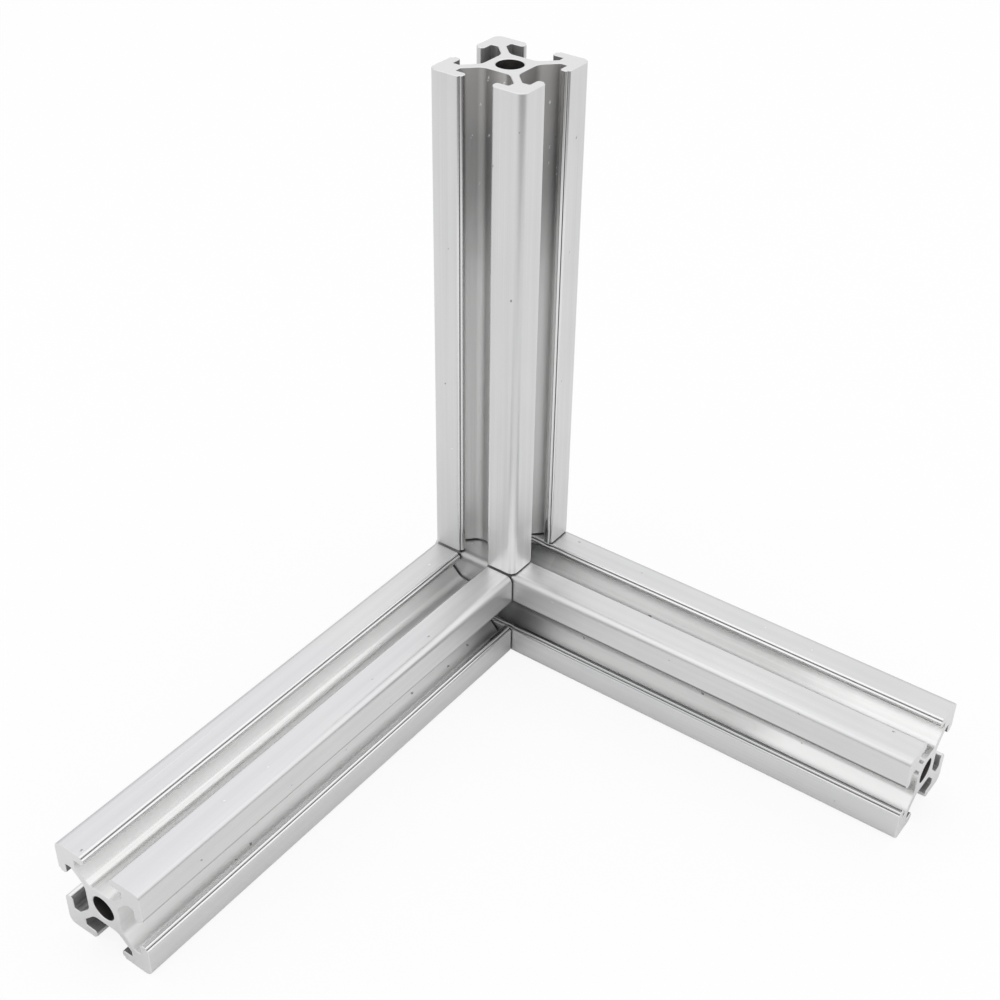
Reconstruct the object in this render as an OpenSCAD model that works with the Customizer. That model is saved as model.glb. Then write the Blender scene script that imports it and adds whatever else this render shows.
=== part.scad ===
// Three slotted aluminium bars joined at a square three way corner.
// One bar runs through the corner along X, the second butts against its front face and runs
// towards -Y, and the third stands on its top face and rises along Z. The second and the third
// are each held by a button head screw in their tapped end, with the head behind the lips of
// a slot of the first.
// The origin is the point where the centre lines of the three bars meet. Millimetres.

/* [Profile] */
// Width of the square section
profile_w = 20; // [19:0.5:24]
// Radius of the four outer corners of the section
corner_r = 1.5; // [0.5:0.1:2.5]
// Width of the slot between its two lips
slot_w = 6.2; // [5.8:0.1:6.8]
// Thickness of the lips
lip_t = 1.9; // [1.6:0.1:2.3]
// Radius of the lips' outer edges at the slot mouth
mouth_r = 0.9; // [0.2:0.1:1.1]
// Radius of the lips' inner edges, where they face the pocket
lip_edge_r = 0.6; // [0.1:0.1:0.7]
// Width of the pocket behind the lips
pocket_w = 11.2; // [10.8:0.1:12]
// Radius of the pocket's outer corners
pocket_r = 0.3; // [0.1:0.05:0.6]
// Width of the square core across two opposite slot floors
core_w = 7.8; // [7.2:0.1:8.4]
// Radius where a slot floor turns up into a rib
root_r = 2.4; // [0.4:0.1:3]
// Thickness of the diagonal ribs between the core and the corners
rib_t = 1.5; // [1.2:0.1:2]

/* [Bars] */
// Length of the bar that runs through the corner
through_len = 106.2; // [60:0.05:400]
// Length of the bar that butts against the front face
side_len = 101.55; // [60:0.05:400]
// Length of the bar that stands on the top face
upright_len = 100.75; // [60:0.05:400]
// Hairline left at each butt joint by the saw cut
seat_gap = 0.2; // [0.05:0.05:0.3]

/* [End screws] */
// Play of the screw's thread between the lips
slot_play = 0.2; // [0.1:0.1:0.6]
// Pitch of the thread, which the bore leaves as the metal to be tapped
thread_pitch = 1; // [0.7:0.05:1.25]
// Radial play between the screw and its tapped hole
thread_play = 0.05; // [0.02:0.01:0.1]
// Length of the screw below its head
screw_len = 16; // [12:1:30]
// Length of the tip's chamfer
tip_len = 0.8; // [0.4:0.1:1.2]
// Length of the tapped hole left empty past the screw's tip
tap_run_out = 4; // [1:0.5:8]
// Radial play of the head in the pocket
head_play = 0.35; // [0.2:0.05:0.8]
// Height of the head
head_h = 3.3; // [2.8:0.1:3.6]
// Height of the straight rim below the dome
head_rim = 0.6; // [0.3:0.1:1]
// Width of the key socket across its flats
key_w = 4; // [3:0.5:4]
// Depth of the key socket
key_depth = 2.1; // [1.5:0.1:2.2]
// Width of the flat left round the corners of the key socket
key_land = 0.6; // [0.3:0.1:0.9]
// Play of the key in the holes that let it reach the screws through the core
key_play = 0.18; // [0.1:0.02:0.4]

/* [Hidden] */
$fn = 96;

half_w = profile_w / 2;
core_h = core_w / 2;
pocket_h = pocket_w / 2;
lip_in = half_w - lip_t;
rib_shift = rib_t / sqrt(2);
floor_end = core_h - rib_shift;
pocket_foot = pocket_h + rib_shift;
seat = half_w + seat_gap;

thread_d = slot_w - slot_play;
bore_d = thread_d - thread_pitch;
shank_d = thread_d - 2 * thread_play;
tapped_len = screw_len - lip_t - seat_gap + tap_run_out;
key_corners = key_w / cos(30);
access_d = key_corners + key_play;
rim_r = pocket_h - head_play;
flat_r = key_corners / 2 + key_land;
dome_drop = (rim_r * rim_r - flat_r * flat_r + head_rim * head_rim - head_h * head_h) / (2 * (head_h - head_rim));
dome_r = sqrt(flat_r * flat_r + (head_h + dome_drop) * (head_h + dome_drop));

over = 1;
alloy = [0.80, 0.81, 0.83];
zinc = [0.62, 0.64, 0.67];

// Waste outside the arc that rounds a corner: the corner is at the origin, one edge lies
// along +X and the other is turned from it by the corner's opening angle
module corner_waste(opening, r) {
  reach = r / tan(opening / 2);
  difference() {
    polygon([[0, 0], [reach, 0], [reach, r], [reach * cos(opening), reach * sin(opening)]]);
    translate([reach, r])
      circle(r = r);
  }
}

// Half of the pocket behind the lips, on the +X side of the slot that opens towards +Y
module half_pocket() {
  lip_corner_r = min(pocket_r, head_play);
  difference() {
    polygon([[0, core_h], [floor_end, core_h], [pocket_h, pocket_foot], [pocket_h, lip_in], [0, lip_in]]);
    translate([pocket_h, lip_in])
      rotate(180)
        corner_waste(90, lip_corner_r);
    translate([pocket_h, pocket_foot])
      rotate(90)
        corner_waste(135, pocket_r);
    translate([floor_end, core_h])
      rotate(45)
        corner_waste(135, root_r);
  }
}

// The slot that opens towards +Y, from its floor to its mouth
module slot() {
  for (side = [0, 1])
    mirror([side, 0]) {
      half_pocket();
      translate([0, lip_in])
        square([slot_w / 2, lip_t]);
      translate([slot_w / 2, half_w])
        mirror([0, 1])
          corner_waste(90, mouth_r);
      translate([slot_w / 2, lip_in])
        corner_waste(90, lip_edge_r);
    }
}

module section() {
  difference() {
    square(profile_w, center = true);
    for (turn = [0 : 90 : 270])
      rotate(turn) {
        slot();
        translate([half_w, half_w])
          rotate(180)
            corner_waste(90, corner_r);
      }
  }
}

// A bar that rises from the origin along +Z, bored from end to end
module bar(len) {
  difference() {
    linear_extrude(height = len)
      section();
    translate([0, 0, -over])
      cylinder(d = bore_d, h = len + 2 * over);
  }
}

// A bar with its lower end tapped for an end screw
module tapped_bar(len) {
  difference() {
    bar(len);
    translate([0, 0, -over])
      cylinder(d = thread_d, h = tapped_len + over);
  }
}

// A button head screw with its head's seat at the origin and its shank along +Z
module end_screw() {
  shank_len = screw_len - tip_len;
  difference() {
    union() {
      cylinder(d = shank_d, h = shank_len);
      translate([0, 0, shank_len])
        cylinder(d1 = shank_d, d2 = shank_d - 2 * tip_len, h = tip_len);
      intersection() {
        translate([0, 0, -head_h])
          cylinder(r = rim_r, h = head_h);
        translate([0, 0, dome_drop])
          sphere(r = dome_r);
      }
    }
    translate([0, 0, -head_h - over])
      cylinder(d = key_corners, h = key_depth + over, $fn = 6);
  }
}

// Runs through the corner along X, with a key hole through its core for each end screw
module through_bar() {
  color(alloy)
    difference() {
      translate([-half_w, 0, 0])
        rotate([0, 90, 0])
          bar(through_len);
      cylinder(d = access_d, h = core_w + over, center = true);
      rotate([90, 0, 0])
        cylinder(d = access_d, h = core_w + over, center = true);
    }
}

// Butts against the through bar's front face and runs towards -Y
module side_bar() {
  color(alloy)
    translate([0, -seat, 0])
      rotate([90, 0, 0])
        tapped_bar(side_len);
}

// Stands on the through bar's top face
module upright_bar() {
  color(alloy)
    translate([0, 0, seat])
      tapped_bar(upright_len);
}

// Holds the side bar, with its head in the through bar's front slot
module side_screw() {
  color(zinc)
    translate([0, -lip_in, 0])
      rotate([90, 0, 0])
        end_screw();
}

// Holds the upright, with its head in the through bar's top slot
module upright_screw() {
  color(zinc)
    translate([0, 0, lip_in])
      end_screw();
}

through_bar();
side_bar();
upright_bar();
side_screw();
upright_screw();
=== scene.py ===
import math

import bmesh
import bpy
from mathutils import Matrix, Vector


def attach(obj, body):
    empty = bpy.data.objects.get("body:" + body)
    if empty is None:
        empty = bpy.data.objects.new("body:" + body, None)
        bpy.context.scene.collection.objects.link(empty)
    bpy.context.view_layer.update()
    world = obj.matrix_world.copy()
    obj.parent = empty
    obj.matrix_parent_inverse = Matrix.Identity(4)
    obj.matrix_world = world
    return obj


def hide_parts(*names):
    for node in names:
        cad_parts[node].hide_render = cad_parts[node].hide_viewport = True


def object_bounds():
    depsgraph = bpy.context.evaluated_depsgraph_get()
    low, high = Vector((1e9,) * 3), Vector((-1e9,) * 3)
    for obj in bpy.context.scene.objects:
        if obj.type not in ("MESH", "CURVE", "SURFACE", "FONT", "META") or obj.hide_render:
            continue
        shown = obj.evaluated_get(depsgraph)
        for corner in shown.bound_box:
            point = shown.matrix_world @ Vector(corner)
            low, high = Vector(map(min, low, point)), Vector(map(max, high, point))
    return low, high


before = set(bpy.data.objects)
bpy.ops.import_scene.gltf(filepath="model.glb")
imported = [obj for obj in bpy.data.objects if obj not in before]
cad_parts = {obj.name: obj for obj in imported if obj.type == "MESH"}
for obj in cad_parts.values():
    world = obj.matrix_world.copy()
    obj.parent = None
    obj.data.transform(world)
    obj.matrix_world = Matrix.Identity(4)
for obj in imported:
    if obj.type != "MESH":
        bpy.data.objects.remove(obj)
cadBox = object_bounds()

print("frame loaded:", ", ".join(sorted(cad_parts)))
mm = 0.001


# the camera stands where the photographer did
shot = {
    "place": (0.15395, -0.21534, 0.21117),
    "lookAt": (-0.00571, 0.00701, 0.01243),
    "roll": 0.893,  # degrees
    "lens": 57.63,
}


def makeCamera():
    data = bpy.data.cameras.new("studioCamera")
    data.lens = shot["lens"]
    data.sensor_width = 36
    data.clip_start = 0.01
    data.clip_end = 20
    camera = bpy.data.objects.new("studioCamera", data)
    sight = Vector(shot["lookAt"]) - Vector(shot["place"])
    roll = Matrix.Rotation(math.radians(shot["roll"]), 3, "Z")
    turn = sight.to_track_quat("-Z", "Y").to_matrix() @ roll
    camera.matrix_world = Matrix.Translation(shot["place"]) @ turn.to_4x4()
    bpy.context.scene.collection.objects.link(camera)
    bpy.context.scene.camera = camera


makeCamera()


class Wire:
    # one output socket of a node tree; sums written on it add Math nodes
    def __init__(self, tree, socket=None):
        self.tree = tree
        self.socket = socket

    def node(self, kind, settings=None, inputs=None, out=0):
        made = self.tree.nodes.new(kind)
        for name, value in (settings or {}).items():
            setattr(made, name, value)
        for key, value in (inputs or {}).items():
            if isinstance(value, Wire):
                self.tree.links.new(value.socket, made.inputs[key])
            else:
                made.inputs[key].default_value = value
        return Wire(self.tree, made.outputs[out])

    def math(self, operation, *values):
        return self.node("ShaderNodeMath", {"operation": operation}, dict(enumerate(values)))

    def __add__(self, other):
        return self.math("ADD", self, other)

    def __radd__(self, other):
        return self.math("ADD", other, self)

    def __sub__(self, other):
        return self.math("SUBTRACT", self, other)

    def __rsub__(self, other):
        return self.math("SUBTRACT", other, self)

    def __mul__(self, other):
        return self.math("MULTIPLY", self, other)

    def __rmul__(self, other):
        return self.math("MULTIPLY", other, self)

    def __truediv__(self, other):
        return self.math("DIVIDE", self, other)

    def __rtruediv__(self, other):
        return self.math("DIVIDE", other, self)

    def vector(self, x, y, z):
        return self.node("ShaderNodeCombineXYZ", None, {0: x, 1: y, 2: z})

    def place(self):
        # object coordinates in millimetres
        return [part / mm for part in self.node("ShaderNodeTexCoord", None, None, out=3).parts()]

    def parts(self):
        split = self.tree.nodes.new("ShaderNodeSeparateXYZ")
        self.tree.links.new(self.socket, split.inputs[0])
        return [Wire(self.tree, split.outputs[axis]) for axis in range(3)]

    def noise(self, vector, detail=2.0, roughness=0.5):
        kinds = {"noise_dimensions": "3D"}
        return self.node("ShaderNodeTexNoise", kinds,
                         {"Vector": vector, "Scale": 1.0, "Detail": detail, "Roughness": roughness})

    def step(self, value, low, high):
        # 0 below low, 1 above high, smooth between
        return self.node("ShaderNodeMapRange", {"interpolation_type": "SMOOTHSTEP"},
                         {"Value": value, "From Min": low, "From Max": high})

    def window(self, value, opens, closes):
        # 1 between two soft edges, each given by its start and its end
        return self.step(value, *opens) * (1.0 - self.step(value, *closes))

    def blend(self, factor, first, second):
        # mixes two colours
        made = self.tree.nodes.new("ShaderNodeMix")
        made.data_type = "RGBA"
        for key, value in ((0, factor), (6, first), (7, second)):
            if isinstance(value, Wire):
                self.tree.links.new(value.socket, made.inputs[key])
            elif key:
                made.inputs[key].default_value = (*value, 1)
            else:
                made.inputs[key].default_value = value
        return Wire(self.tree, made.outputs[2])


def newMaterial(name):
    material = bpy.data.materials.new(name)
    material.use_nodes = True
    material.node_tree.nodes.clear()
    return material, Wire(material.node_tree)


def closeMaterial(wire, surface):
    output = wire.tree.nodes.new("ShaderNodeOutputMaterial")
    wire.tree.links.new(surface.socket, output.inputs["Surface"])


def metal(wire, color, roughness, height, depth, **fixed):
    # a metal surface whose relief is the height times the depth in metres
    bump = wire.node("ShaderNodeBump", None, {"Strength": 1.0, "Distance": depth, "Height": height})
    inputs = {"Base Color": color, "Metallic": 1.0, "Roughness": roughness, "Normal": bump}
    inputs.update(fixed)
    return wire.node("ShaderNodeBsdfPrincipled", None, inputs)


skinLook = {
    "tone": (0.715, 0.715, 0.713),
    "coolTone": (0.693, 0.694, 0.703),
    "lavenderTone": (0.705, 0.701, 0.724),
    # painted light: the inside of the slots is painted lighter than the faces
    "slotLitTone": (0.83, 0.83, 0.823),
    # painted light: near-white for the slots' polished and frosted lengths
    "brightLitTone": (0.97, 0.97, 0.965),
    "warmReflectionTone": (0.52, 0.502, 0.488),
    # painted shade up the upright's slots and lips
    "upperShadeTone": (0.40, 0.395, 0.39),
    "slotShadeTone": (0.30, 0.30, 0.30),
    "lipHighlightTone": (0.86, 0.86, 0.86),
    "shadedLipTone": (0.36, 0.37, 0.37),
    "creaseShadeTone": (0.22, 0.22, 0.22),
    "cornerLightTone": (0.90, 0.90, 0.90),
    "ridgeShadeTone": (0.58, 0.58, 0.578),
    "streakTone": (0.52, 0.52, 0.52),
    "nickTone": (0.28, 0.275, 0.27),
    "lightNickTone": (0.85, 0.85, 0.85),
    "chipTone": (0.95, 0.95, 0.95),
    # painted shade for the seams and the front slot's upper edge
    "deepShadeTone": (0.12, 0.12, 0.12),
    "roughness": 0.24,
    "slotRoughness": 0.35,
    "lipRoughness": 0.10,
    "slotDiffuse": 0.2,  # the slots scatter part of the light, where the faces are wiped bright
    "frostDiffuse": 0.25,
    "relief": 9e-6,      # metres
    # noises: cells in each mm across the bar and along it, a seed, and the detail
    "band": (1 / 1.1, 0.006, 1.0, 1.0),      # broad bands left by the die
    "line": (1 / 0.14, 0.02, 5.0, 3.0),      # draw lines
    "hair": (1 / 0.035, 0.12, 9.0, 2.0),     # the finest lines
    "cloud": (0.12, 0.05, 3.0, 3.0),
    "wander": (3.0, 3.0, 2.0, 2.0),
    "scratchPath": (0.22, 0.03, 7.0, 1.0),
    "scratchShare": (0.3, 0.1, 17.0, 1.0),
    "scratchShift": 181.82,                  # mm
    # small marks: mm from one place for a mark to the next, its size in mm, the share of places left out
    "nick": (6.5, 0.19, 0.6),
    "chip": (1.6, 0.2, 0.8),
}

# where the finish changes, in mm from the corner's centre: each change starts at the first number of
# its pair and is full at the second
places = {
    "barBegins": (9.8, 10.2),
    "shown": (-1, 2),
    "flatTop": (9.4, 9.9),
    "lavender": (60, 150),
    "polishedLit": (72, 90),          # the through bar's slots, towards its free end
    "frontPolishAndLight": 8,              # its front slot is polished, and painted bright, from nearer by this much
    "frostedLitTop": (12, 50),        # the side bar's top slot
    "frostedLitSide": (12, 30),       # its slot towards the inner corner
    "slotHalf": (3, 4),
    "gleam": ((1.4, 2.2), (3.6, 4.4)),
    "gleamTop": (5.6, 6.4),
    "upperShade": (76, 102),             # up the upright
    "upperShadeEnds": (105, 120),
    "warmReflection": (110, 128),
    "shadedLipsFrom": (80, 105),
    "chips": (95, 115),
    "corner": (20, 42),
    "cornerThrough": (15, 20),
    "cornerUpright": (17.5, 21.5),
    "cornerStrip": (2.8, 3.2),
    "cornerFlat": (9.3, 9.9),
    "ridgeShade": (17, 32),
    "satin": (22, 45),
    "frontLips": (8.6, 8.8),
    "darkEdge": ((2.9, 3.0), (4.0, 4.3)),
    "lowerLip": (-1, 1),
    "litLowerLip": (50, 90),
    "shadeThrough": ((3, 9), (6, 18)),
    "frontShadeReach": 8.5,              # the front slot's painted shade reaches further out by this much
    "shadeSide": (12, 26),
    "behindFront": (-10.2, -10.0),
    "belowUpright": (10.0, 10.2),
    "besideFront": (-10.2, -9.8),
    "seamShadeOut": (3.2, 3.4),
    "seamShadeReach": (9.2, 9.6),
    "seamShadeFront": ((-10.1, -10.05), (-8.5, -8.0)),
    "seamShadeHeight": ((8.0, 8.5), (10.05, 10.1)),
}


def surfaceLevel(wire, name):
    return wire.node("ShaderNodeAttribute", {"attribute_name": name}, None, out=2)


def grain(wire, u, v, kind):
    across, along, seed, detail = skinLook[kind]
    return wire.noise(wire.vector(u * across, v * along, seed), detail)


def marks(wire, u, v, kind):
    # small marks in some of the cells of a wide grid, and a random level for each
    every, size, leftOut = skinLook[kind]
    cells = {"voronoi_dimensions": "2D", "feature": "F1"}
    spot = {"Vector": wire.vector(u / every, v / every, 0.0), "Scale": 1.0}
    near = wire.node("ShaderNodeTexVoronoi", cells, spot)
    pick, share, tint = wire.node("ShaderNodeTexVoronoi", cells, spot, out=1).parts()
    limit = (0.4 + share) * (size / every)
    return wire.step(limit - near, 0.0, 0.3 * limit) * wire.step(pick, leftOut, leftOut + 0.01), tint


def slotLightAndPolish(wire, x, y, z, cloud, shown):
    # the slots' painted light: lengths that are polished or frosted and painted bright, and the gleam where
    # a floor turns up
    inFront = wire.step(-1.0 * y, *places["slotHalf"])
    polishedLit = wire.step(x + cloud * 20 + inFront * places["frontPolishAndLight"], *places["polishedLit"])
    onTop = wire.step(z, *places["slotHalf"])
    frostedLit = wire.step(-1.0 * y, *places["frostedLitTop"]) * onTop
    beside = wire.step(x, *places["slotHalf"]) * (1.0 - onTop)
    frostedLit = shown * (frostedLit + wire.step(-1.0 * y, *places["frostedLitSide"]) * beside)
    gleam = frostedLit * wire.window(-1.0 * x, *places["gleam"]) * (1.0 - wire.step(z, *places["gleamTop"]))
    return shown * polishedLit, frostedLit, gleam


def innerCornerShade(wire, x, y, z, cloud):
    # painted shade: the slots that face the inner corner are darker near it
    through = wire.step(x, *places["shadeThrough"][0])
    reach = x + cloud * 10 - wire.step(-1.0 * y, *places["slotHalf"]) * places["frontShadeReach"]
    through = through * (1.0 - wire.step(reach, *places["shadeThrough"][1]))
    through = through * wire.step(y, *places["behindFront"]) * (1.0 - wire.step(z, *places["belowUpright"]))
    side = wire.step(x, *places["slotHalf"]) * (1.0 - wire.step(y, *places["besideFront"]))
    side = side * (1.0 - wire.step(cloud * 10 - y, *places["shadeSide"]))
    return wire.math("MAXIMUM", through, side)


def seamShade(wire, x, y, z):
    # painted shade along the through bar's rounded edge, where the two other bars close over it
    amount = 0.25 + 0.75 * wire.step(x, *places["seamShadeOut"]) + 0.55 * wire.step(-1.0 * x, *places["seamShadeOut"])
    amount = amount * (1.0 - wire.step(x.math("ABSOLUTE", x), *places["seamShadeReach"]))
    amount = amount * wire.window(y, *places["seamShadeFront"])
    return amount * wire.window(z, *places["seamShadeHeight"])


def makeSkin():
    # drawn aluminium: everything runs along the bar, which is the second axis of the UV map
    material, wire = newMaterial("drawnAluminium")
    around, along, rest = wire.node("ShaderNodeUVMap", {"uv_map": "UVMap"}).parts()
    u = around / mm
    v = along / mm
    band = grain(wire, u, v, "band")
    line = grain(wire, u, v, "line")
    cloud = grain(wire, u, v, "cloud")
    wander = grain(wire, u, v, "wander")
    nick, tint = marks(wire, u + wander * 0.7, v * 0.7 + wander * 0.9, "nick")
    # hairline scratches that wander off the draw direction
    path = grain(wire, u + skinLook["scratchShift"], v, "scratchPath") - 0.5
    scratch = 1.0 - wire.step(path.math("ABSOLUTE", path), 0.0, 0.0016)
    scratch = scratch * wire.step(grain(wire, u, v, "scratchShare"), 0.5, 0.6)
    height = band * 0.9 + line * 0.55 + grain(wire, u, v, "hair") * 0.3 - scratch * 0.6 - nick * 2.5

    # the parts of the section: inside the slots, their lips, the crease in a lip, the rounded corners
    depth = surfaceLevel(wire, "depth")
    edge = surfaceLevel(wire, "lip")
    inside = wire.step(depth, 0.5, 1.9)
    lip = wire.step(edge, 0.0, 1.0)
    crease = wire.step(-1.0 * edge, 0.0, 0.9)
    rounded = wire.step(-1.0 * depth, 0.1, 0.6)
    x, y, z = wire.place()
    away = wire.node("ShaderNodeVectorMath", {"operation": "LENGTH"}, {0: wire.vector(x, y, z)}, out=1)
    onThrough = wire.step(x, *places["barBegins"])
    onSide = wire.step(-1.0 * y, *places["barBegins"])
    onUpright = wire.step(z, *places["barBegins"])
    # which side of its bar's centre line: above 0 on the shown side
    facing = x * (1.0 - onThrough) - y * (1.0 - onSide) + z * (1.0 - onUpright)
    shown = wire.step(facing, *places["shown"])
    polishedLit, frostedLit, gleam = slotLightAndPolish(wire, x, y, z, cloud, inside * shown)

    tone = wire.blend(wire.step(cloud, 0.38, 0.62), skinLook["tone"], skinLook["coolTone"])
    lavender = wire.step(cloud * 100 - y, *places["lavender"]) * wire.step(z, *places["flatTop"])
    # painted shade: the slots darken up the upright, a little less towards its top end
    upperShade = wire.step(z + cloud * 20, *places["upperShade"])
    upperShade = upperShade * (1.0 - 0.4 * wire.step(z + cloud * 20, *places["upperShadeEnds"]))
    # painted reflection: a warm brownish tint in the slots near the upright's top
    warmReflection = wire.step(z + cloud * 30, *places["warmReflection"])
    # painted light: the flats and the rounded edges near the corner's nose are painted lighter
    noseLight = wire.step(x, *places["cornerStrip"]) * wire.step(-1.0 * y, *places["cornerStrip"])
    noseLight = noseLight * wire.step(z, *places["cornerFlat"]) * (1.0 - wire.step(away, *places["corner"]))
    noseLight = noseLight * (1.0 - wire.step(x, *places["cornerThrough"]))
    noseLight = noseLight * (1.0 - wire.step(x, *places["cornerFlat"]) * wire.step(z, *places["cornerUpright"]))
    # painted shade: the rounded edges are darkened near the corner, except on the upright
    ridgeShade = rounded * (1.0 - wire.step(away, *places["ridgeShade"]))
    ridgeShade = ridgeShade * (1.0 - wire.step(z, *places["belowUpright"]))
    # near the upright's free end, painted shade covers the lips' painted highlight and the crease's painted
    # shade eases
    shadedLips = wire.step(z, *places["shadedLipsFrom"])
    # the through bar's front slot: painted shade on its upper edge, and painted shade on its lower lip
    front = onThrough * wire.step(-1.0 * y, *places["frontLips"])
    upperEdgeShade = front * wire.window(z, *places["darkEdge"])
    below = front * lip * (1.0 - wire.step(z, *places["lowerLip"]))
    below = below * (1.0 - 0.6 * wire.step(x, *places["litLowerLip"]))
    streak = (line * 0.5 + band * 0.3 - 0.2) * (1.0 - 0.6 * polishedLit)
    # light chips and dust that the saw left in the slots near the upright's free end
    chip, rest = marks(wire, u + wander * 0.9, v * 0.6 + wander * 1.4, "chip")
    chip = chip * inside * wire.step(z + cloud * 30, *places["chips"])
    coats = (
        (lavender, "lavenderTone"),
        (inside, "slotLitTone"),
        # painted light: the polished and frosted lengths of the slots are painted near-white
        (polishedLit + frostedLit, "brightLitTone"),
        (inside * upperShade, "upperShadeTone"),
        (inside * warmReflection * 0.7, "warmReflectionTone"),
        # painted shade: the slots on the side of a bar away from the shown side are darkened
        (inside * (1.0 - shown) * 0.8, "slotShadeTone"),
        (noseLight, "cornerLightTone"),
        (ridgeShade, "ridgeShadeTone"),
        # painted highlight on the lips
        (lip * 0.8, "lipHighlightTone"),
        (lip * shadedLips * 0.6, "upperShadeTone"),
        # painted shade in the crease between a lip's two beads
        (crease * (1.0 - 0.6 * shadedLips), "creaseShadeTone"),
        (upperEdgeShade, "deepShadeTone"),
        (below * 0.8, "shadedLipTone"),
        (inside * innerCornerShade(wire, x, y, z, cloud), "slotShadeTone"),
        (streak, "streakTone"),
        (nick, "nickTone"),
        (nick * wire.step(tint, 0.75, 0.77), "lightNickTone"),
        (chip, "chipTone"),
        (seamShade(wire, x, y, z), "deepShadeTone"),
    )
    for amount, name in coats:
        tone = wire.blend(amount, tone, skinLook[name])

    rough = skinLook["roughness"] + inside * (skinLook["slotRoughness"] - skinLook["roughness"])
    rough = rough + lip * (skinLook["lipRoughness"] - rough) - polishedLit * 0.13 - gleam * 0.2
    # the flats are duller near the corner
    satin = (1.0 - inside) * (1.0 - lip) * (1.0 - wire.step(away, *places["satin"]))
    rough = rough + band * 0.06 + line * 0.05 + scratch * 0.1 + chip * 0.4 + satin * 0.12
    metallic = 1.0 - inside * (1.0 - lip) * (1.0 - polishedLit) * skinLook["slotDiffuse"]
    metallic = metallic - (frostedLit - gleam) * skinLook["frostDiffuse"]
    closeMaterial(wire, metal(wire, tone, rough, height, skinLook["relief"], Metallic=metallic))
    return material


cutLook = {
    "tone": (0.765, 0.765, 0.77),
    "grainTone": (0.66, 0.66, 0.67),
    "roughness": 0.42,
    "bladeCentre": (76.0, 57.0),  # mm from the bar's centre line
    "pitch": 0.21,                # mm between saw lines
    "relief": 7e-6,
    "heldShade": 0.12,            # the ends that butt are painted dark: painted shade in the seams
}


def makeCut(name, shade):
    # sawn aluminium: faint arcs left by the blade, on the section's own plane
    material, wire = newMaterial(name)
    x, y, rest = wire.node("ShaderNodeUVMap", {"uv_map": "UVMap"}).parts()
    x = x / mm
    y = y / mm
    bladeX, bladeY = cutLook["bladeCentre"]
    centre = wire.vector(x + bladeX, y + bladeY, 0.0)
    reach = wire.node("ShaderNodeVectorMath", {"operation": "LENGTH"}, {0: centre}, out=1)
    arcs = wire.noise(wire.vector(reach / cutLook["pitch"], x * 0.05, y * 0.05), 3.0)
    speckle = wire.noise(wire.vector(x * 6.0, y * 6.0, 4.0), 2.0)
    tones = [[part * shade for part in cutLook[name]] for name in ("tone", "grainTone")]
    tone = wire.blend(speckle * 0.35, *tones)
    rough = cutLook["roughness"] + arcs * 0.12
    closeMaterial(wire, metal(wire, tone, rough, arcs + speckle * 0.4, cutLook["relief"]))
    return material


boreLook = {
    "tones": ((0.10, 0.095, 0.092), (0.19, 0.18, 0.175)),
    "mottle": 0.9,  # cells in each mm
    "roughness": 0.42,
    "relief": 2e-5,
}


def makeBore():
    # the bore is painted dark: painted shade in the deep hole, on a mottled skin
    material, wire = newMaterial("shadedBoreAluminium")
    x, y, z = [part * boreLook["mottle"] for part in wire.place()]
    mottle = wire.noise(wire.vector(x, y, z), 3.0)
    tone = wire.blend(mottle, *boreLook["tones"])
    closeMaterial(wire, metal(wire, tone, boreLook["roughness"] + mottle * 0.15, mottle, boreLook["relief"]))
    return material


zincLook = {
    "tones": ((0.33, 0.35, 0.38), (0.40, 0.41, 0.42)),
    "mottle": 0.7,  # cells in each mm
    "fine": 4.0,
    "roughness": 0.24,
    "relief": 8e-6,
}


def makeZinc():
    # plated screw steel, faintly mottled
    material, wire = newMaterial("zincSteel")
    x, y, z = wire.place()
    patch = zincLook["mottle"]
    mottle = wire.noise(wire.vector(x * patch, y * patch, z * patch), 3.0)
    speck = zincLook["fine"]
    fine = wire.noise(wire.vector(x * speck, y * speck, z * speck), 2.0)
    tone = wire.blend(mottle, *zincLook["tones"])
    closeMaterial(wire, metal(wire, tone, zincLook["roughness"] + mottle * 0.14, fine, zincLook["relief"]))
    return material


finishes = {
    "skin": makeSkin(),
    "cut": makeCut("sawnAluminium", 1.0),
    "seamShadedCut": makeCut("seamShadedAluminium", cutLook["heldShade"]),
    "bore": makeBore(),
    "zinc": makeZinc(),
}
print("finishes made:", len(finishes))


def newTree(name, inputs):
    # a geometry tree with a geometry input, then the given named inputs
    tree = bpy.data.node_groups.new(name, "GeometryNodeTree")
    tree.interface.new_socket(name="Geometry", in_out="INPUT", socket_type="NodeSocketGeometry")
    for label, kind in inputs:
        tree.interface.new_socket(name=label, in_out="INPUT", socket_type="NodeSocket" + kind)
    tree.interface.new_socket(name="Geometry", in_out="OUTPUT", socket_type="NodeSocketGeometry")
    entry = tree.nodes.new("NodeGroupInput")
    given = {socket.name: Wire(tree, socket) for socket in entry.outputs if socket.name}
    return tree, given


def closeTree(tree, shape):
    leave = tree.nodes.new("NodeGroupOutput")
    tree.links.new(shape.socket, leave.inputs[0])


def attribute(wire, name, kind="FLOAT"):
    return wire.node("GeometryNodeInputNamedAttribute", {"data_type": kind}, {"Name": name})


def sample(wire, shape, value, index, kind="FLOAT"):
    return wire.node("GeometryNodeSampleIndex", {"data_type": kind, "domain": "POINT"},
                     {"Geometry": shape, "Value": value, "Index": index})


def integer(wire, operation, first, second):
    return wire.node("FunctionNodeIntegerMath", {"operation": operation}, {0: first, 1: second})


def storeMap(wire, shape, across, along):
    # writes the UV map in metres; the values are worked out on points, so the seam stays clean
    flat = wire.node("GeometryNodeFieldOnDomain", {"data_type": "FLOAT_VECTOR", "domain": "POINT"},
                     {"Value": wire.vector(across, along, 0.0)})
    return wire.node("GeometryNodeStoreNamedAttribute", {"data_type": "FLOAT2", "domain": "CORNER"},
                     {"Geometry": shape, "Name": "UVMap", "Value": flat})


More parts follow.
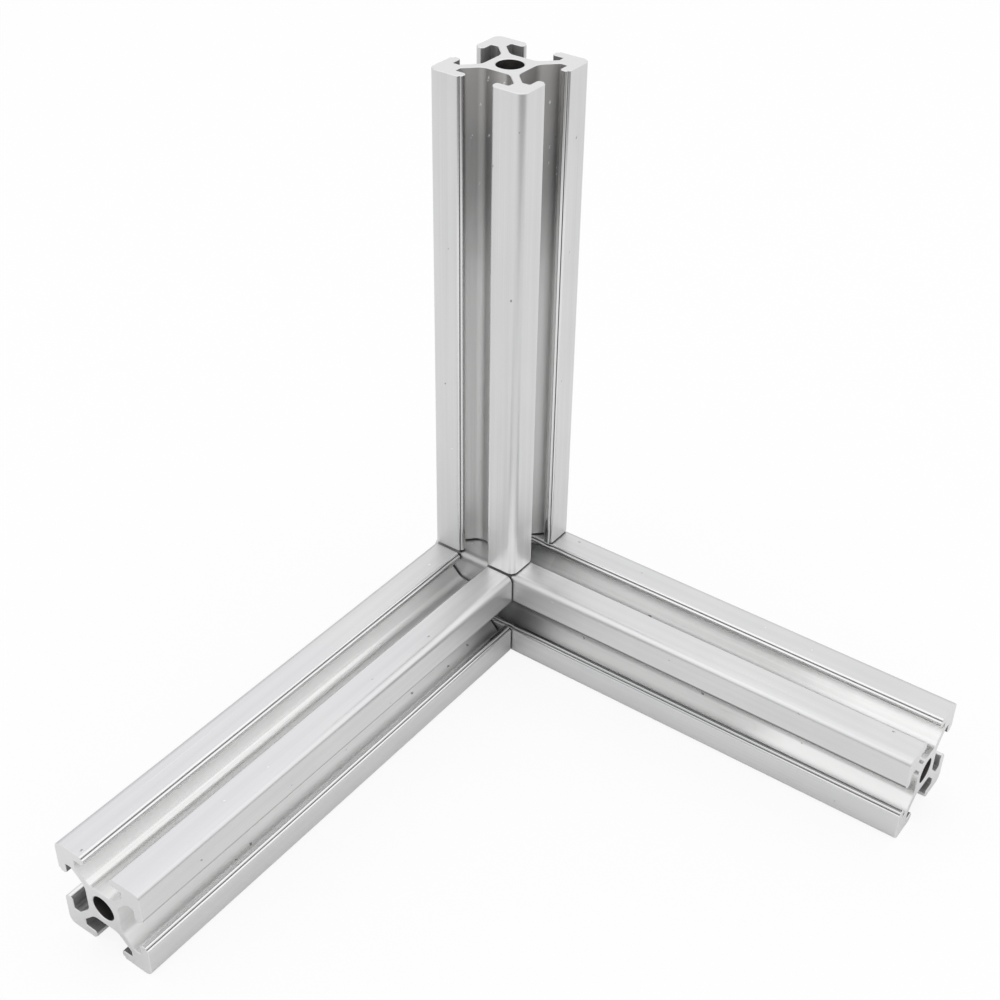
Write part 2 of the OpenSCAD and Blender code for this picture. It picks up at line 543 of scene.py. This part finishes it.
def buildTurnedTree():
    # turns a profile (x is the radius, z the height) about Z; a ring may be hexagonal or threaded
    tree, given = newTree("turnedShape", [
        ("Sides", "Int"), ("Pitch", "Float"), ("Crest Radius", "Float"), ("Thread Depth", "Float"),
        ("Finish", "Material")])
    wire = Wire(tree)
    profile = given["Geometry"]
    rings = wire.node("GeometryNodeAttributeDomainSize", {"component": "MESH"}, {"Geometry": profile})
    grid = wire.node("GeometryNodeMeshGrid", None,
                     {"Vertices X": integer(wire, "ADD", given["Sides"], 1), "Vertices Y": rings})
    index = wire.node("GeometryNodeInputIndex")
    column = integer(wire, "DIVIDE_FLOOR", index, rings)
    ring = integer(wire, "MODULO", index, rings)
    position = wire.node("GeometryNodeInputPosition")
    radius, rest, height = sample(wire, profile, position, ring, "FLOAT_VECTOR").parts()
    hexed = sample(wire, profile, attribute(wire, "hexed"), ring)
    threaded = sample(wire, profile, attribute(wire, "threaded"), ring)
    share = column / given["Sides"]
    angle = share * math.tau
    sixth = wire.math("MODULO", angle, math.tau / 6)
    corner = 1.0 / wire.math("COSINE", sixth - math.tau / 12)
    radius = radius * (1.0 + hexed * (corner - 1.0))
    wave = wire.math("PINGPONG", height / given["Pitch"] - share + 100.0, 0.5) * 2.0
    groove = wire.node("ShaderNodeClamp", None, {"Value": wave * 1.3 - 0.15})
    thread = wire.math("MINIMUM", radius, given["Crest Radius"] - given["Thread Depth"] * threaded * groove)
    radius = radius + wire.math("GREATER_THAN", threaded, 0.001) * (thread - radius)
    spot = wire.vector(radius * wire.math("COSINE", angle), radius * wire.math("SINE", angle), height)
    shape = wire.node("GeometryNodeSetPosition", None, {"Geometry": grid, "Position": spot})
    shape = storeMap(wire, shape, share * given["Crest Radius"] * math.tau, height)
    shape = wire.node("GeometryNodeMergeByDistance", None, {"Geometry": shape, "Distance": 1e-7})
    shape = wire.node("GeometryNodeSetMaterial", None, {"Geometry": shape, "Material": given["Finish"]})
    closeTree(tree, shape)
    return tree


def buildBarTree(turnedTree):
    # a slotted bar that rises from the origin along Z: the outline's points carry the way inwards
    # and their place round the section, and the saw's edge break is uneven
    tree, given = newTree("slottedBar", [
        ("Bore", "Object"), ("Bore Sides", "Int"), ("Near Mouth", "Float"), ("Far Mouth", "Float"),
        ("Length", "Float"), ("Rings", "Int"), ("Perimeter", "Float"), ("Near Break", "Float"),
        ("Far Break", "Float"), ("Mouth Break", "Float"), ("Seed", "Float"), ("Skin", "Material"),
        ("Near Cut", "Material"), ("Far Cut", "Material"), ("Bore Skin", "Material")])
    wire = Wire(tree)
    length = given["Length"]
    nearEdge = given["Near Break"]
    farEdge = given["Far Break"]
    rings = given["Rings"]
    outline = given["Geometry"]
    position = wire.node("GeometryNodeInputPosition")
    inward = attribute(wire, "inward", "FLOAT_VECTOR")
    x, y, z = position.parts()
    for number, (name, edge) in enumerate((("nearBreak", nearEdge), ("farBreak", farEdge))):
        seed = given["Seed"] + 7.0 * number
        uneven = wire.noise(wire.vector(x * 700.0, y * 700.0, seed), 2.0)
        outline = wire.node("GeometryNodeStoreNamedAttribute", {"data_type": "FLOAT", "domain": "POINT"},
                            {"Geometry": outline, "Name": name, "Value": edge * (0.35 + uneven * 1.1)})
    points = wire.node("GeometryNodeAttributeDomainSize", {"component": "MESH"}, {"Geometry": outline})

    # the skin: one column of the grid for each point of the outline
    grid = wire.node("GeometryNodeMeshGrid", None,
                     {"Vertices X": integer(wire, "ADD", points, 1), "Vertices Y": rings})
    index = wire.node("GeometryNodeInputIndex")
    column = integer(wire, "DIVIDE_FLOOR", index, rings)
    ring = integer(wire, "MODULO", index, rings)
    source = integer(wire, "MODULO", column, points)
    spot = sample(wire, outline, position, source, "FLOAT_VECTOR")
    way = sample(wire, outline, inward, source, "FLOAT_VECTOR")
    around = sample(wire, outline, attribute(wire, "around"), source)
    around = around + wire.math("GREATER_THAN", column, points - 0.5) * given["Perimeter"]
    depth = sample(wire, outline, attribute(wire, "depth"), source)
    lip = sample(wire, outline, attribute(wire, "lip"), source)
    isNear = wire.math("LESS_THAN", ring, 0.5)
    isFar = wire.math("GREATER_THAN", ring, rings - 1.5)
    spacing = (length - nearEdge - farEdge) / (rings - 3.0)
    height = wire.math("MAXIMUM", nearEdge + (ring - 1.0) * spacing, 0.0)
    height = wire.math("MINIMUM", height, length)
    inset = isNear * sample(wire, outline, attribute(wire, "nearBreak"), source)
    inset = inset + isFar * sample(wire, outline, attribute(wire, "farBreak"), source)
    shift = wire.node("ShaderNodeVectorMath", {"operation": "SCALE"}, {0: way, "Scale": inset})
    flat = wire.node("ShaderNodeVectorMath", {"operation": "ADD"}, {0: spot, 1: shift})
    lift = wire.vector(0.0, 0.0, height)
    place = wire.node("ShaderNodeVectorMath", {"operation": "ADD"}, {0: flat, 1: lift})
    skin = wire.node("GeometryNodeSetPosition", None, {"Geometry": grid, "Position": place})
    skin = storeMap(wire, skin, around, height)
    for name, value in (("depth", depth), ("lip", lip)):
        skin = wire.node("GeometryNodeStoreNamedAttribute", {"data_type": "FLOAT", "domain": "POINT"},
                         {"Geometry": skin, "Name": name, "Value": value})
    skin = wire.node("GeometryNodeSetMaterial", None, {"Geometry": skin, "Material": given["Skin"]})
    low = wire.math("LESS_THAN", z, nearEdge * 0.75)
    high = wire.math("GREATER_THAN", z, length - farEdge * 0.75)
    for band, finish in ((low, "Near Cut"), (high, "Far Cut")):
        skin = wire.node("GeometryNodeSetMaterial", None,
                         {"Geometry": skin, "Selection": band, "Material": given[finish]})

    # the bore
    boreShape = wire.node("GeometryNodeObjectInfo", None, {"Object": given["Bore"]}, out="Geometry")
    bore = wire.node("GeometryNodeGroup", {"node_tree": turnedTree},
                     {"Geometry": boreShape, "Sides": given["Bore Sides"], "Pitch": mm,
                      "Crest Radius": 3 * mm, "Finish": given["Bore Skin"]})
    brokenEdge = given["Mouth Break"]
    for selection, finish in ((wire.math("LESS_THAN", z, brokenEdge), "Near Cut"),
                              (wire.math("GREATER_THAN", z, length - brokenEdge), "Far Cut")):
        bore = wire.node("GeometryNodeSetMaterial", None,
                         {"Geometry": bore, "Selection": selection, "Material": given[finish]})
    shapes = [skin, bore]

    # the two sawn faces, each filled between the outline and the bore's mouth
    for name, end, level in (("nearBreak", "Near", 0.0), ("farBreak", "Far", length)):
        shift = wire.node("ShaderNodeVectorMath", {"operation": "SCALE"},
                          {0: inward, "Scale": attribute(wire, name)})
        loop = wire.node("GeometryNodeSetPosition", None, {"Geometry": outline, "Offset": shift})
        rim = wire.node("GeometryNodeMeshToCurve", None, {"Mesh": loop})
        hole = wire.node("GeometryNodeCurvePrimitiveCircle", None,
                         {"Resolution": given["Bore Sides"], "Radius": given[end + " Mouth"]})
        both = wire.node("GeometryNodeJoinGeometry")
        joinNode = both.socket.node
        tree.links.new(rim.socket, joinNode.inputs[0])
        tree.links.new(hole.socket, joinNode.inputs[0])
        face = wire.node("GeometryNodeFillCurve", None, {"Curve": both})
        face = storeMap(wire, face, x, y)
        face = wire.node("GeometryNodeSetMaterial", None,
                         {"Geometry": face, "Material": given[end + " Cut"]})
        lift = wire.vector(0.0, 0.0, level)
        shapes.append(wire.node("GeometryNodeTransform", None, {"Geometry": face, "Translation": lift}))
    joined = wire.node("GeometryNodeJoinGeometry")
    for shape in shapes:
        tree.links.new(shape.socket, joined.socket.node.inputs[0])
    whole = wire.node("GeometryNodeMergeByDistance", None, {"Geometry": joined, "Distance": 1e-6})
    closeTree(tree, wire.node("GeometryNodeRealizeInstances", None, {"Geometry": whole}))
    return tree


turnedTree = buildTurnedTree()
barTree = buildBarTree(turnedTree)


def lineObject(name, points, closed=False, **attributes):
    # a mesh of points joined by edges, with the given point attributes
    mesh = bpy.data.meshes.new(name)
    edges = [(i, i + 1) for i in range(len(points) - 1)]
    if closed:
        edges.append((len(points) - 1, 0))
    mesh.from_pydata(points, edges, [])
    for label, values in attributes.items():
        isVector = hasattr(values[0], "__len__")
        made = mesh.attributes.new(label, "FLOAT_VECTOR" if isVector else "FLOAT", "POINT")
        for item, value in zip(made.data, values):
            if isVector:
                item.vector = value
            else:
                item.value = value
    shape = bpy.data.objects.new(name, mesh)
    bpy.context.scene.collection.objects.link(shape)
    return shape


def grow(name, base, tree, settings):
    # runs a tree on a line object and keeps the result as a plain mesh
    modifier = base.modifiers.new("grow", "NODES")
    modifier.node_group = tree
    for item in tree.interface.items_tree:
        if item.in_out == "INPUT" and item.name in settings:
            modifier[item.identifier] = settings[item.name]
    graph = bpy.context.evaluated_depsgraph_get()
    grown = base.evaluated_get(graph)
    mesh = bpy.data.meshes.new_from_object(grown, preserve_all_data_layers=True, depsgraph=graph)
    mesh.name = name
    base.modifiers.clear()
    piece = bpy.data.objects.new(name, mesh)
    bpy.context.scene.collection.objects.link(piece)
    return piece


def applied(piece):
    # replaces a piece's mesh by the result of its modifiers
    graph = bpy.context.evaluated_depsgraph_get()
    changed = piece.evaluated_get(graph)
    mesh = bpy.data.meshes.new_from_object(changed, preserve_all_data_layers=True, depsgraph=graph)
    piece.modifiers.clear()
    piece.data = mesh


def closeUp(piece):
    # joins the seams and faces the mesh outwards
    work = bmesh.new()
    work.from_mesh(piece.data)
    bmesh.ops.remove_doubles(work, verts=work.verts, dist=1e-7)
    bmesh.ops.recalc_face_normals(work, faces=work.faces)
    work.to_mesh(piece.data)
    work.free()


def smooth(piece, sharpAbove=32.0):
    # shades a closed mesh so that the flats stay flat beside the rounds
    closeUp(piece)
    work = bmesh.new()
    work.from_mesh(piece.data)
    for face in work.faces:
        face.smooth = True
    for edge in work.edges:
        edge.smooth = len(edge.link_faces) == 2 and edge.calc_face_angle(0.0) < math.radians(sharpAbove)
    openEdges = sum(1 for edge in work.edges if len(edge.link_faces) != 2)
    work.to_mesh(piece.data)
    work.free()
    weigh = piece.modifiers.new("weigh", "WEIGHTED_NORMAL")
    weigh.mode = "FACE_AREA"
    weigh.keep_sharp = True
    applied(piece)
    print(piece.name, "faces", len(piece.data.polygons), "open edges", openEdges)


def settle(piece, node):
    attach(piece, "root")
    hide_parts(node)


# the section that the three bars share, in millimetres
section = {
    "width": 20.0, "cornerRadius": 1.5,
    "slot": 6.2, "lip": 1.9, "bead": 0.45, "beadRadius": 0.42, "lipEdge": 0.6,
    "pocket": 11.2, "pocketRadius": 0.3,
    "core": 7.8, "rootRadius": 2.4, "rib": 1.5,
    "arcStep": 8.0,  # degrees
    "freeBreak": 0.11,      # at the free ends
    "heldBreak": 0.14,      # at the ends that butt
}


def sectionCorners():
    # a quarter of the outline, clockwise from one slot's floor to the next: x, y and radius
    half = section["width"] / 2
    core = section["core"] / 2
    pocket = section["pocket"] / 2
    lipIn = half - section["lip"]
    shift = section["rib"] / math.sqrt(2)
    mouth = section["slot"] / 2
    bead = section["bead"]
    quarter = [
        (core - shift, core, section["rootRadius"]),
        (pocket, pocket + shift, section["pocketRadius"]),
        (pocket, lipIn, section["pocketRadius"]),
        (mouth, lipIn, section["lipEdge"]),
        (mouth, half - bead, section["beadRadius"]),
        (mouth + bead, half - bead, 0),
        (mouth + bead, half, section["beadRadius"]),
    ]
    mirrored = [(y, x, r) for x, y, r in reversed(quarter)]
    quarter = quarter + [(half, half, section["cornerRadius"])] + mirrored
    corners = []
    for turn in range(4):
        for x, y, r in quarter:
            corners.append((x, y, r))
        quarter = [(y, -x, r) for x, y, r in quarter]
    return corners[::-1]


def rounded(corners, step):
    # replaces each corner by an arc of its radius
    points = []
    count = len(corners)
    for i, (x, y, r) in enumerate(corners):
        here = Vector((x, y))
        back = (Vector(corners[i - 1][:2]) - here).normalized()
        ahead = (Vector(corners[(i + 1) % count][:2]) - here).normalized()
        opening = back.angle(ahead)
        if r == 0:
            points.append(here)
            continue
        reach = r / math.tan(opening / 2)
        centre = here + (back + ahead).normalized() * (r / math.sin(opening / 2))
        first = here + back * reach - centre
        sweep = math.pi - opening
        side = math.copysign(1.0, -back.cross(ahead))
        parts = max(4, round(math.degrees(sweep) / step))
        for k in range(parts + 1):
            turn = Matrix.Rotation(side * sweep * k / parts, 2)
            points.append(centre + turn @ first)
    return points


def outlineObject():
    points = rounded(sectionCorners(), section["arcStep"])
    count = len(points)
    around = [0.0]
    inward = []
    depth = []
    lip = []
    crease = (section["slot"] / 2 + section["bead"], section["width"] / 2 - section["bead"])
    for i in range(count):
        before = (points[i] - points[i - 1]).normalized()
        after = (points[(i + 1) % count] - points[i]).normalized()
        first = Vector((-before.y, before.x))
        second = Vector((-after.y, after.x))
        inward.append((*((first + second) / (1 + first.dot(second))), 0))
        around.append(around[-1] + (points[(i + 1) % count] - points[i]).length * mm)
        far, near = sorted((abs(points[i].x), abs(points[i].y)), reverse=True)
        # below 0 on the rounded corners, so that the finish can tell them from the flats
        depth.append(min(section["width"] / 2 - far, section["width"] / 2 - section["cornerRadius"] - near))
        # 1 on the lip, which gets a painted highlight, -1 in the crease between its two beads, which gets
        # painted shade
        fromCrease = math.hypot(near - crease[0], far - crease[1])
        onLip = 0.01 < depth[-1] < 1.35 and near < 4.2
        lip.append(max(-1.0, min(1.0, (fromCrease - 0.13) / 0.07)) if onLip else 0.0)
    section["perimeter"] = around.pop()
    spots = [(p.x * mm, p.y * mm, 0) for p in points]
    return lineObject("sectionOutline", spots, True, inward=inward, around=around, depth=depth, lip=lip)


outline = outlineObject()
print("section outline points:", len(outline.data.vertices))


bars = {
    "bore": 5.0,
    "tapped": 6.0,        # diameter of the tapped length at a held end
    "tappedLength": 17.9,
    "boreBreak": 0.16,
    "boreSides": 72,
    "rings": 9,
    "seat": 10.2,        # from the corner's centre to a held end
    "through": 106.2,
    "side": 101.55,
    "upright": 100.75,
}
bars["keyHole"] = 4 / math.cos(math.radians(30)) + 0.18  # a 4 mm key with its play


def boreObject(name, length, tapped):
    r = bars["bore"] / 2
    edge = bars["boreBreak"]
    profile = [(r, length - edge), (r + edge, length)]
    if tapped:
        wide = bars["tapped"] / 2
        depth = bars["tappedLength"]
        profile = [(wide, 0), (wide, depth), (r, depth)] + profile
    else:
        profile = [(r + edge, 0), (r, edge)] + profile
    zeros = [0.0] * len(profile)
    return lineObject(name, [(x * mm, 0, z * mm) for x, z in profile], hexed=zeros, threaded=zeros)


def makeBar(name, length, tapped, seed, place):
    bore = boreObject(name + "Bore", length, tapped)
    mouth = bars["bore"] / 2 + bars["boreBreak"]
    piece = grow(name, outline, barTree, {
        "Bore": bore, "Bore Sides": bars["boreSides"],
        "Near Mouth": (bars["tapped"] / 2 if tapped else mouth) * mm, "Far Mouth": mouth * mm,
        "Length": length * mm, "Rings": bars["rings"], "Perimeter": section["perimeter"],
        "Near Break": section["heldBreak" if tapped else "freeBreak"] * mm,
        "Far Break": section["freeBreak"] * mm, "Mouth Break": bars["boreBreak"] * mm, "Seed": seed,
        "Skin": finishes["skin"], "Near Cut": finishes["seamShadedCut" if tapped else "cut"],
        "Far Cut": finishes["cut"], "Bore Skin": finishes["bore"]})
    bpy.data.objects.remove(bore)
    piece.data.transform(place)
    return piece


def columns(*axes, at=(0, 0, 0)):
    # a placing matrix: where the section's x and y and the bar's length point, and where it starts
    turn = Matrix(axes).transposed().to_4x4()
    return Matrix.Translation(Vector(at) * mm) @ turn


def cutKeyHole(piece, axis):
    # drills the key hole through the core, with a small countersink at each slot floor
    r = bars["keyHole"] / 2
    floor = section["core"] / 2
    edge = 0.12
    flare = 0.5
    half = [(r, floor - edge), (r + edge + flare, floor + flare), (0, floor + flare)]
    profile = [(0, -floor - flare), (r + edge + flare, -floor - flare), (r, edge - floor)] + half
    zeros = [0.0] * len(profile)
    line = lineObject("keyDrill", [(x * mm, 0, z * mm) for x, z in profile], hexed=zeros, threaded=zeros)
    drill = grow("keyDrillSolid", line, turnedTree, {
        "Sides": 64, "Pitch": mm, "Crest Radius": 3 * mm, "Finish": finishes["cut"]})
    closeUp(drill)
    drill.data.transform(axis)
    cut = piece.modifiers.new("cut", "BOOLEAN")
    cut.object = drill
    cut.operation = "DIFFERENCE"
    cut.solver = "EXACT"
    applied(piece)
    bpy.data.objects.remove(drill)
    bpy.data.objects.remove(line)


axisX = (1, 0, 0)
axisY = (0, 1, 0)
axisZ = (0, 0, 1)
through = makeBar("throughBar", bars["through"], False, 1.0,
                  columns(axisY, axisZ, axisX, at=(-section["width"] / 2, 0, 0)))
closeUp(through)
cutKeyHole(through, columns(axisX, axisY, axisZ))
cutKeyHole(through, columns(axisX, axisZ, (0, -1, 0)))
side = makeBar("sideBar", bars["side"], True, 23.0,
               columns(axisX, axisZ, (0, -1, 0), at=(0, -bars["seat"], 0)))
upright = makeBar("uprightBar", bars["upright"], True, 41.0,
                  columns(axisX, axisY, axisZ, at=(0, 0, bars["seat"])))
for piece, node in ((through, "through_bar"), (side, "side_bar"), (upright, "upright_bar")):
    smooth(piece)
    settle(piece, node)
print("bars made")


screw = {
    "seat": 8.1,          # from the corner's centre to the head's seat
    "headHeight": 3.3, "headRadius": 5.25, "rim": 0.6, "rimEdge": 0.14,
    "flatRadius": 2.91,
    "keyWidth": 4.0, "keyDepth": 2.1, "keyBreak": 0.2,
    "radius": 2.95, "length": 16.0, "tip": 0.8,
    "pitch": 1.0, "threadDepth": 0.56, "neck": 0.7,
    "ringsPerTurn": 12,
    "sides": 60,
}


def screwProfile():
    # rings from the middle of the key socket over the head and down the shank:
    # radius, height, hexed, threaded
    top = -screw["headHeight"]
    floor = top + screw["keyDepth"]
    key = screw["keyWidth"] / 2
    rings = [(0, floor + 0.45, 0, 0), (key * 0.86, floor, 0, 0), (key, floor, 1, 0),
             (key, top + screw["keyBreak"], 1, 0), (key * 1.1547 + 0.04, top, 0, 0)]
    flat, rim, wide = screw["flatRadius"], screw["rim"], screw["headRadius"]
    drop = (wide ** 2 - flat ** 2 + rim ** 2 - top ** 2) / (2 * (-top - rim))
    dome = math.hypot(flat, -top + drop)
    firstAngle = math.asin(flat / dome)
    lastAngle = math.asin(wide / dome)
    for k in range(17):
        angle = firstAngle + (lastAngle - firstAngle) * k / 16
        rings.append((dome * math.sin(angle), drop - dome * math.cos(angle), 0, 0))
    edge = screw["rimEdge"]
    for k in range(7):
        angle = math.pi / 2 * k / 6
        rings.append((wide - edge + edge * math.cos(angle), -edge + edge * math.sin(angle), 0, 0))
    r = screw["radius"]
    rings += [(r + 0.15, 0, 0, 0), (r + 0.04, 0.04, 0, 0), (r, 0.15, 0, 0), (r, 0.3, 0, 0)]
    step = screw["pitch"] / screw["ringsPerTurn"]
    z = 0.3 + step
    while z < screw["length"] - screw["tip"]:
        grown = min(1.0, (z - 0.3) / screw["neck"])
        rings.append((r, z, 0, grown))
        z += step
    while z < screw["length"]:
        rings.append((r - (z - screw["length"] + screw["tip"]), z, 0, 1))
        z += step
    tipRadius = r - screw["tip"]
    rings += [(tipRadius, screw["length"], 0, 1), (0, screw["length"], 0, 0)]
    return rings


def makeScrew(name, node, place):
    rings = screwProfile()
    line = lineObject(name + "Profile", [(r * mm, 0, z * mm) for r, z, h, t in rings],
                      hexed=[float(h) for r, z, h, t in rings], threaded=[float(t) for r, z, h, t in rings])
    piece = grow(name, line, turnedTree, {
        "Sides": screw["sides"], "Pitch": screw["pitch"] * mm, "Crest Radius": screw["radius"] * mm,
        "Thread Depth": screw["threadDepth"] * mm, "Finish": finishes["zinc"]})
    bpy.data.objects.remove(line)
    piece.data.transform(place)
    smooth(piece, 38.0)
    settle(piece, node)


makeScrew("sideScrew", "side_screw", columns(axisX, axisZ, (0, -1, 0), at=(0, -screw["seat"], 0)))
makeScrew("uprightScrew", "upright_screw", columns(axisX, axisY, axisZ, at=(0, 0, screw["seat"])))
bpy.data.objects.remove(outline)
print("screws made")


studio = {
    "floorSize": 3.0,
    "floorDrop": 0.00002,
    "floorTone": 0.90,
    "floorWhite": 0.88,    # share of plain white in the floor, so that the shadow stays faint
    "floorMirror": 0.70,   # the part of that share that reflections see
    "worldLevel": 0.95,
    "horizonLevel": 0.45,  # reflections see the tent's darker foot
    "tentFoot": ((-0.06, 0.0), (0.08, 0.24)),
    # metres on the floor, where the painted shade that reflections see begins and where it is full
    "frontFloorShade": (0.19, 0.29),
    "farFloor": (0.18, 0.32),
    "underBars": (0.010, 0.016),
    "lamps": [
        # name, place, size, power
        ("overheadBox", (0.0, 0.05, 0.60), 1.00, 0.60),
        ("leftBox", (-0.16, -0.52, 0.53), 0.50, 0.21),
        ("rightBox", (0.57, 0.29, 0.41), 0.50, 0.19),
    ],
}


def seenBackground(wire, mirrored):
    # 1 where the camera or a clear material sees the surface, and the given level in reflections
    path = wire.tree.nodes.new("ShaderNodeLightPath")
    rays = ("Is Camera Ray", "Is Glossy Ray", "Is Transmission Ray")
    seen = [Wire(wire.tree, path.outputs[name]) for name in rays]
    return wire.math("MAXIMUM", wire.math("MAXIMUM", seen[0], seen[1] * mirrored), seen[2])


def makeFloor():
    material, wire = newMaterial("paleFloor")
    place = wire.node("ShaderNodeTexCoord", None, None, out=3)
    x, y, z = place.parts()
    tone = studio["floorTone"]
    color = wire.blend(wire.noise(place, 2.0), (tone, tone, tone), (tone - 0.02, tone - 0.02, tone - 0.02))
    matt = wire.node("ShaderNodeBsdfDiffuse", None, {"Color": color})
    dark = wire.node("ShaderNodeBsdfDiffuse", None, {"Color": (0.1, 0.1, 0.1, 1)})
    white = wire.node("ShaderNodeEmission", None, {"Color": (1, 1, 1, 1), "Strength": 1.0})
    # what reflections see, with painted shade: darker in front on the right, fading far off, and dim by the
    # bars
    frontShade = wire.step(x * 0.8 - y * 0.6, *studio["frontFloorShade"])
    reach = wire.node("ShaderNodeVectorMath", {"operation": "LENGTH"}, {0: place}, out=1)
    away = wire.step(reach, *studio["farFloor"])
    beside = wire.math("MINIMUM", x.math("ABSOLUTE", x), y.math("ABSOLUTE", y))
    foot = 1.0 - wire.step(beside, *studio["underBars"])
    mirrored = studio["floorMirror"] * (1.0 - 0.7 * frontShade - 0.25 * away) * (1.0 - 0.85 * foot)
    share = seenBackground(wire, mirrored) * studio["floorWhite"]
    # painted shade: the floor's matt part also darkens in front on the right
    matt = wire.node("ShaderNodeMixShader", None, {0: frontShade * 0.7, 1: matt, 2: dark})
    closeMaterial(wire, wire.node("ShaderNodeMixShader", None, {0: share, 1: matt, 2: white}))
    half = studio["floorSize"] / 2
    level = cadBox[0].z - studio["floorDrop"]
    corners = [(-half, -half, level), (half, -half, level), (half, half, level), (-half, half, level)]
    mesh = bpy.data.meshes.new("paleFloor")
    mesh.from_pydata(corners, [], [(0, 1, 2, 3)])
    mesh.materials.append(material)
    floor = bpy.data.objects.new("paleFloor", mesh)
    bpy.context.scene.collection.objects.link(floor)


def makeTent():
    world = bpy.data.worlds.new("whiteTent")
    bpy.context.scene.world = world
    world.use_nodes = True
    world.node_tree.nodes.clear()
    wire = Wire(world.node_tree)
    x, y, z = wire.node("ShaderNodeTexCoord", None, None, out=0).parts()
    foot = wire.window(z, *studio["tentFoot"])
    seen = seenBackground(wire, 1.0 - foot * (1.0 - studio["horizonLevel"]))
    unseen = 1.0 - wire.math("GREATER_THAN", seen, 0.01)
    level = wire.math("MAXIMUM", studio["worldLevel"] * unseen, seen)
    glow = wire.node("ShaderNodeBackground", None, {"Color": (1, 1, 1, 1), "Strength": level})
    output = world.node_tree.nodes.new("ShaderNodeOutputWorld")
    world.node_tree.links.new(glow.socket, output.inputs["Surface"])


def makeLamps():
    for name, place, size, power in studio["lamps"]:
        data = bpy.data.lights.new(name, "AREA")
        data.shape = "SQUARE"
        data.size = size
        data.energy = power
        lamp = bpy.data.objects.new(name, data)
        lamp.location = place
        lamp.rotation_mode = "QUATERNION"
        lamp.rotation_quaternion = (-Vector(place)).to_track_quat("-Z", "Y")
        bpy.context.scene.collection.objects.link(lamp)


makeFloor()
makeTent()
makeLamps()
bpy.context.scene.view_settings.view_transform = "Standard"
print("studio made")
